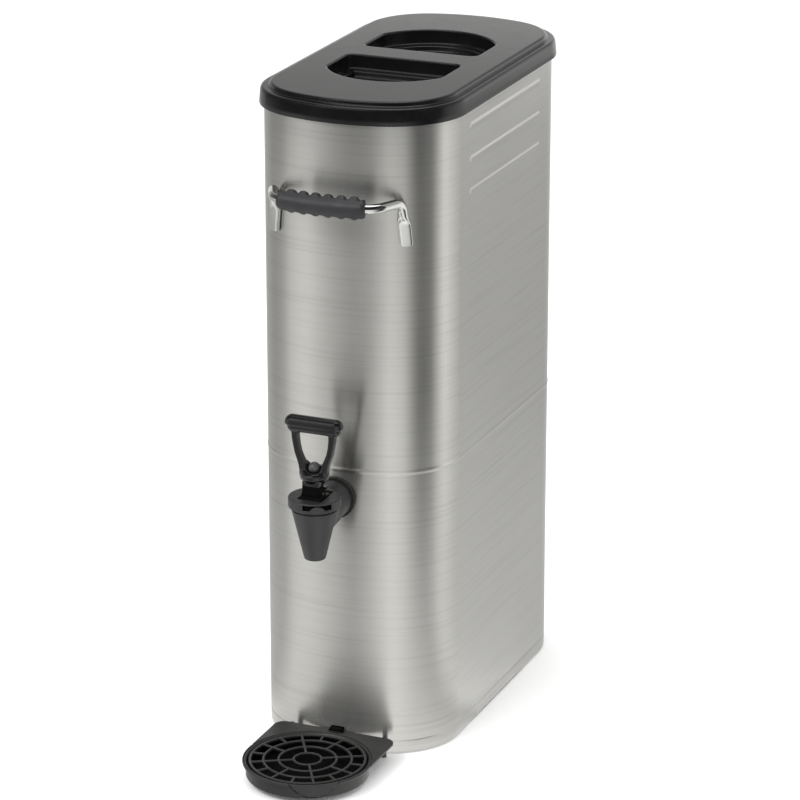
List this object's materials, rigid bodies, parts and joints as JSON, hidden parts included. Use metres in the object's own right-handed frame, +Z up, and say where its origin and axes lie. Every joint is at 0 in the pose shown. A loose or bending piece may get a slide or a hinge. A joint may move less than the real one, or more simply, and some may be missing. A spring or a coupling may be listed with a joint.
{
  "type": "slim oval beverage dispenser",
  "caption": "Slim oval stainless beverage dispenser with lift-off lid, carrying handles, self-closing faucet and removable drip tray.",
  "frame": {"origin": "centre of the oval body's footprint, on the counter plane that the four feet stand on", "axes": "+Z up; -Y is the front, with the faucet and the drip tray; +X is the viewer's right when facing the front"},
  "size_m": [0.176, 0.471, 0.5613],
  "materials": {
    "brushed_steel_wall": "horizontally brushed stainless sheet",
    "inner_steel": "plain mill-finish stainless sheet",
    "foot_rubber": "matt black rubber",
    "chrome_wire": "polished wire",
    "grip_rubber": "soft matt black rubber",
    "faucet_plastic": "fine-textured black moulding",
    "washer_rubber": "black rubber",
    "silicone": "translucent silicone",
    "nut_plastic": "black nylon",
    "handle_plastic": "polished black moulding",
    "pin_steel": "plain stainless pin",
    "stem_plastic": "white acetal",
    "spring_steel": "stainless spring wire",
    "lid_plastic": "black moulding with a soft gloss",
    "tray_plastic": "fine-textured black moulding"
  },
  "bodies": {
    "body": {"body_shell": "brushed_steel_wall", "tank_floor": "inner_steel", "base_ring": "inner_steel", "foot_front_left": "foot_rubber", "foot_front_right": "foot_rubber", "foot_rear_left": "foot_rubber", "foot_rear_right": "foot_rubber", "handle_front_wire": "chrome_wire", "handle_front_grip": "grip_rubber", "handle_rear_wire": "chrome_wire", "handle_rear_grip": "grip_rubber", "faucet_body": "faucet_plastic", "faucet_washer": "washer_rubber", "shank_gasket": "silicone", "shank_nut": "nut_plastic", "bonnet": "faucet_plastic"},
    "lever": {"tap_handle": "handle_plastic", "handle_pin": "pin_steel", "stem_cap": "handle_plastic"},
    "valve": {"valve_stem": "stem_plastic", "seat_cup": "silicone", "valve_spring": "spring_steel"},
    "lid": {"lid": "lid_plastic"},
    "tray": {"tray_holder": "tray_plastic"},
    "cup": {"drip_cup": "tray_plastic"},
    "grate": {"drip_grate": "tray_plastic"}
  },
  "joints": [
    {"name": "lid_lift", "type": "slide", "parent": "body", "child": "lid", "axis": [0, 0, 1], "range_m": [0, 0.08]},
    {"name": "tap_pull", "type": "hinge", "parent": "body", "child": "lever", "pos_m": [0, -0.213, 0.2412], "axis": [1, 0, 0], "range_deg": [0, 30], "stiffness_Nm_per_rad": 0.055, "springref_deg": -57.3},
    {"name": "valve_lift", "type": "slide", "parent": "body", "child": "valve", "axis": [0, 0, 1], "range_m": [0, 0.004], "deforming": ["valve_spring"]},
    {"name": "tray_pull", "type": "slide", "parent": "body", "child": "tray", "axis": [0, -1, 0], "range_m": [0, 0.07]},
    {"name": "cup_lift", "type": "slide", "parent": "tray", "child": "cup", "axis": [0, 0, 1], "range_m": [0, 0.04]},
    {"name": "grate_lift", "type": "slide", "parent": "cup", "child": "grate", "axis": [0, 0, 1], "range_m": [0, 0.06]}
  ],
  "couplings": [
    {"joint": "valve_lift", "follows": "tap_pull", "m_per_rad": 0.0076}
  ]
}
